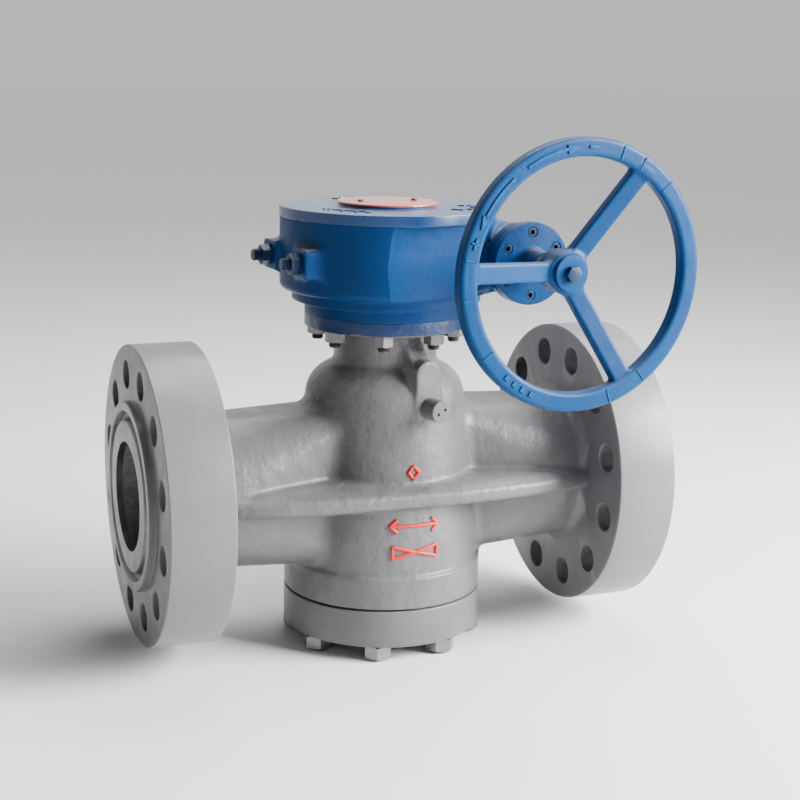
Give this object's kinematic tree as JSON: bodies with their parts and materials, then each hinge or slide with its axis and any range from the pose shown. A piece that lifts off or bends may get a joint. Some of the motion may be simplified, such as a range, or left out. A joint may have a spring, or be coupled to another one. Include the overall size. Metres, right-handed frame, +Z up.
{
  "type": "plug valve",
  "caption": "Flanged inverted lubricated plug valve with grey cast body, bolted bottom cover, blue worm-gear operator, stop screws, position indicator and spoked handwheel.",
  "frame": {"origin": "on the plug axis, in the plane the valve stands on: the underside of the adjusting-screw cap", "axes": "+X along the flow bore, +Z up the plug and stem axis, the handwheel faces -Y"},
  "size_m": [0.711, 0.4699, 0.6979],
  "materials": {
    "body_paint": "grey gloss paint over a sand-cast steel surface",
    "operator_paint": "blue gloss enamel over cast iron",
    "plated_steel": "zinc-plated stud and nut steel",
    "machined_steel": "machined bare steel",
    "dark_steel": "blackened steel with thin blue overspray",
    "bronze": "machined bronze",
    "graphite": "matte graphite and spiral-wound filler",
    "rubber": "black nitrile rubber",
    "indicator_plate": "red-printed pale plate"
  },
  "bodies": {
    "valve": {"valve_body": "body_paint", "bottom_cover": "body_paint", "cover_gasket": "graphite", "cover_stud_1": "plated_steel", "cover_stud_2": "plated_steel", "cover_stud_3": "plated_steel", "cover_stud_4": "plated_steel", "cover_stud_5": "plated_steel", "cover_stud_6": "plated_steel", "cover_stud_7": "plated_steel", "cover_stud_8": "plated_steel", "adjusting_screw": "plated_steel", "adjusting_screw_cap": "body_paint", "thrust_ball": "machined_steel", "thrust_plate": "machined_steel", "stem_thrust_washer": "bronze", "stem_packing": "graphite", "packing_gland": "plated_steel", "sealant_fitting": "body_paint", "sealant_check_valve": "machined_steel", "mounting_stud_1": "plated_steel", "mounting_stud_2": "plated_steel", "mounting_stud_3": "plated_steel", "mounting_stud_4": "plated_steel", "mounting_stud_5": "plated_steel", "mounting_stud_6": "plated_steel", "mounting_stud_7": "plated_steel", "mounting_stud_8": "plated_steel", "gearbox_housing": "operator_paint", "gearbox_cover": "operator_paint", "wheel_bush_lower": "bronze", "wheel_bush_upper": "bronze", "worm_bearing_front": "machined_steel", "worm_bearing_rear": "machined_steel", "front_end_cap": "operator_paint", "rear_end_cap": "operator_paint", "end_cap_screw_1": "dark_steel", "end_cap_screw_2": "dark_steel", "end_cap_screw_3": "dark_steel", "end_cap_screw_4": "dark_steel", "end_cap_screw_5": "dark_steel", "end_cap_screw_6": "dark_steel", "shaft_seal": "rubber", "stop_bolt_open": "dark_steel", "stop_bolt_closed": "dark_steel", "stop_nut_open": "dark_steel", "stop_nut_closed": "dark_steel"},
    "plug_train": {"plug": "machined_steel", "equalizer_ring": "machined_steel", "stem": "machined_steel", "stem_key": "machined_steel", "worm_wheel": "bronze", "position_indicator": "indicator_plate", "indicator_screw_1": "dark_steel", "indicator_screw_2": "dark_steel"},
    "handwheel_train": {"worm_shaft": "machined_steel", "handwheel": "operator_paint", "handwheel_washer": "operator_paint", "handwheel_bolt": "operator_paint", "handwheel_key": "machined_steel"}
  },
  "joints": [
    {"name": "plug_turn", "type": "hinge", "parent": "valve", "child": "plug_train", "pos_m": [0, 0, 0.222], "axis": [0, 0, -1], "range_deg": [0, 90]},
    {"name": "handwheel_turn", "type": "hinge", "parent": "valve", "child": "handwheel_train", "pos_m": [0.14073, 0.00871, 0.5279], "axis": [-0.0617, 0.9981, 0], "range_deg": [0, 4140]}
  ],
  "couplings": [
    {"joint": "handwheel_turn", "follows": "plug_turn", "ratio": 46}
  ]
}
